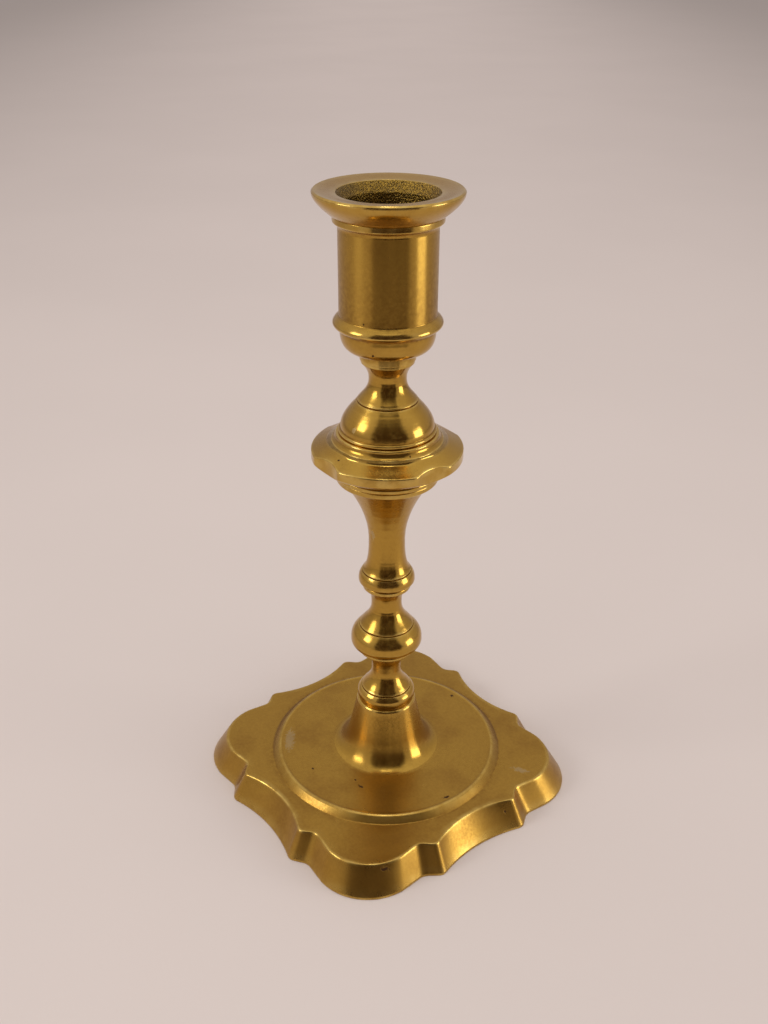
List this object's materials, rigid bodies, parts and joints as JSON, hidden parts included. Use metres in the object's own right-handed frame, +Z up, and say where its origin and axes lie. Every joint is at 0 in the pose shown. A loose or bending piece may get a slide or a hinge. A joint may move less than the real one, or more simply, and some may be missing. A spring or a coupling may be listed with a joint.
{
  "type": "candle holder",
  "caption": "Turned brass candle holder: a flared candle cup on a baluster stem with a scalloped collar, bolted by a tie rod to a hollow lobed base.",
  "frame": {"origin": "on the stem's axis, at the height of the table that the foot stands on", "axes": "+Z up along the stem to the candle cup; X and Y square to the hollow sides of the base"},
  "size_m": [0.092, 0.092, 0.178],
  "materials": {
    "turned_brass": "polished with fine turning lines and light tarnish in the grooves",
    "cast_brass": "polished sides, satin turned top, rough and darker underneath",
    "plated_steel": "dull zinc plate"
  },
  "bodies": {
    "root": {"candle_cup": "turned_brass", "upper_knop": "turned_brass", "scalloped_collar": "turned_brass", "baluster_stem": "turned_brass", "base": "cast_brass", "tie_rod": "plated_steel", "flat_washer": "plated_steel", "spring_washer": "plated_steel", "hex_nut": "plated_steel"}
  },
  "joints": []
}
